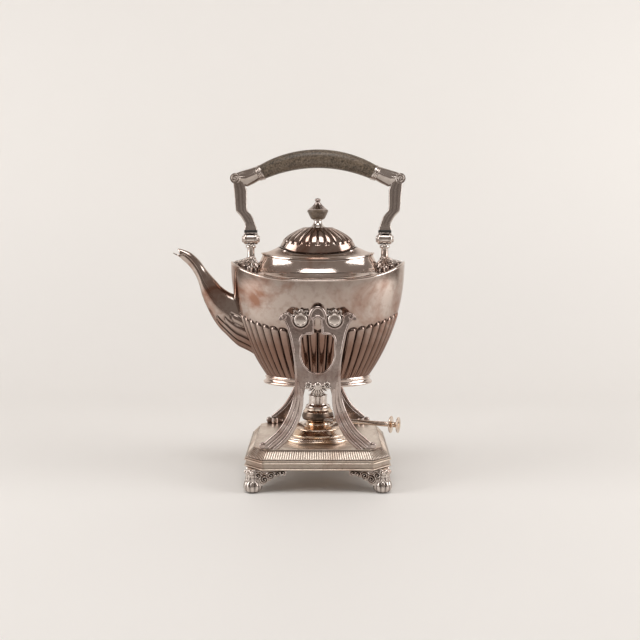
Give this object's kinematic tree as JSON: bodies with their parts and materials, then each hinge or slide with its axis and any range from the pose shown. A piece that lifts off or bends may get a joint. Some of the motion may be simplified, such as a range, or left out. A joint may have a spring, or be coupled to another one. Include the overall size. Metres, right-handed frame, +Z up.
{
  "type": "spirit kettle on stand",
  "caption": "Oval tilting hot-water kettle with a hinged lid and bail handle, on a low square stand with two cast frames and a spirit lamp with a wick winder.",
  "frame": {"origin": "centre of the square base, on the surface that the four feet stand on", "axes": "+Z up, +X away from the spout (the spout points along -X), +Y to the back, so the winder rod is on the +X side and turned towards the front"},
  "size_m": [0.2122, 0.13, 0.2998],
  "materials": {
    "silver_plate": "polished silver plate with a warm coppery tarnish, darker in the recesses",
    "dark_grip": "dark grey-brown, finely mottled, satin",
    "black_insulator": "black, satin",
    "dark_bronze": "darkened metal, satin",
    "brass": "plain brass",
    "cotton_wick": "braided cotton"
  },
  "bodies": {
    "stand": {"base_plate": "silver_plate", "base_border": "silver_plate", "foot_front_left": "silver_plate", "foot_front_right": "silver_plate", "foot_back_left": "silver_plate", "foot_back_right": "silver_plate", "foot_screws": "brass", "front_frame": "silver_plate", "back_frame": "silver_plate", "front_shell": "silver_plate", "back_shell": "silver_plate", "frame_screws": "brass"},
    "lamp": {"lamp_font": "silver_plate", "lamp_collar": "dark_bronze", "wick_tube": "silver_plate", "winder_bush": "silver_plate"},
    "winder": {"winder_rod": "silver_plate", "winder_knob": "silver_plate", "wick_wheel": "brass"},
    "wick": {"wick": "cotton_wick"},
    "kettle": {"kettle_body": "silver_plate", "kettle_foot": "silver_plate", "kettle_shoulder": "silver_plate", "kettle_neck": "silver_plate", "spout": "silver_plate", "spout_strainer": "silver_plate", "stud_bracket_front_left": "silver_plate", "stud_bracket_front_right": "silver_plate", "stud_bracket_back_left": "silver_plate", "stud_bracket_back_right": "silver_plate", "stud_front_left": "silver_plate", "stud_front_right": "silver_plate", "stud_back_left": "silver_plate", "stud_back_right": "silver_plate", "post_plate_left": "silver_plate", "post_plate_right": "silver_plate", "handle_post_left": "silver_plate", "handle_post_right": "silver_plate", "lid_hinge_fixed_leaf": "silver_plate", "lid_hinge_pin": "silver_plate"},
    "lid": {"lid_plate": "silver_plate", "lid_dome": "silver_plate", "lid_bezel": "silver_plate", "lid_hinge_moving_leaf": "silver_plate", "finial_stem": "silver_plate", "finial_bowl": "dark_grip", "finial_button": "silver_plate"},
    "handle": {"knuckle_left": "silver_plate", "knuckle_right": "silver_plate", "pivot_pin_left": "silver_plate", "pivot_pin_right": "silver_plate", "insulator_left": "black_insulator", "insulator_right": "black_insulator", "strut_left": "silver_plate", "strut_right": "silver_plate", "ferrule_left": "silver_plate", "ferrule_right": "silver_plate", "grip": "dark_grip"}
  },
  "joints": [
    {"name": "kettle_tilt", "type": "hinge", "parent": "stand", "child": "kettle", "pos_m": [-0.0146, 0, 0.1508], "axis": [0, -1, 0], "range_deg": [0, 50]},
    {"name": "handle_swing", "type": "hinge", "parent": "kettle", "child": "handle", "pos_m": [0, 0, 0.2193], "axis": [1, 0, 0], "range_deg": [-90, 90]},
    {"name": "lid_open", "type": "hinge", "parent": "kettle", "child": "lid", "pos_m": [0, 0.0358, 0.20225], "axis": [-1, 0, 0], "range_deg": [0, 75]},
    {"name": "lamp_turn", "type": "hinge", "parent": "stand", "child": "lamp", "pos_m": [0, 0, 0.0373], "axis": [0, 0, 1], "range_deg": [-25, 65]},
    {"name": "winder_turn", "type": "hinge", "parent": "lamp", "child": "winder", "pos_m": [-0.00257, -0.00705, 0.0543], "axis": [0.9397, -0.342, 0], "range_deg": [-98, 32]},
    {"name": "wick_lift", "type": "slide", "parent": "lamp", "child": "wick", "axis": [0, 0, 1], "range_m": [-0.00598, 0.00195]}
  ],
  "couplings": [
    {"joint": "winder_turn", "follows": "wick_lift", "rad_per_m": 285.71}
  ]
}
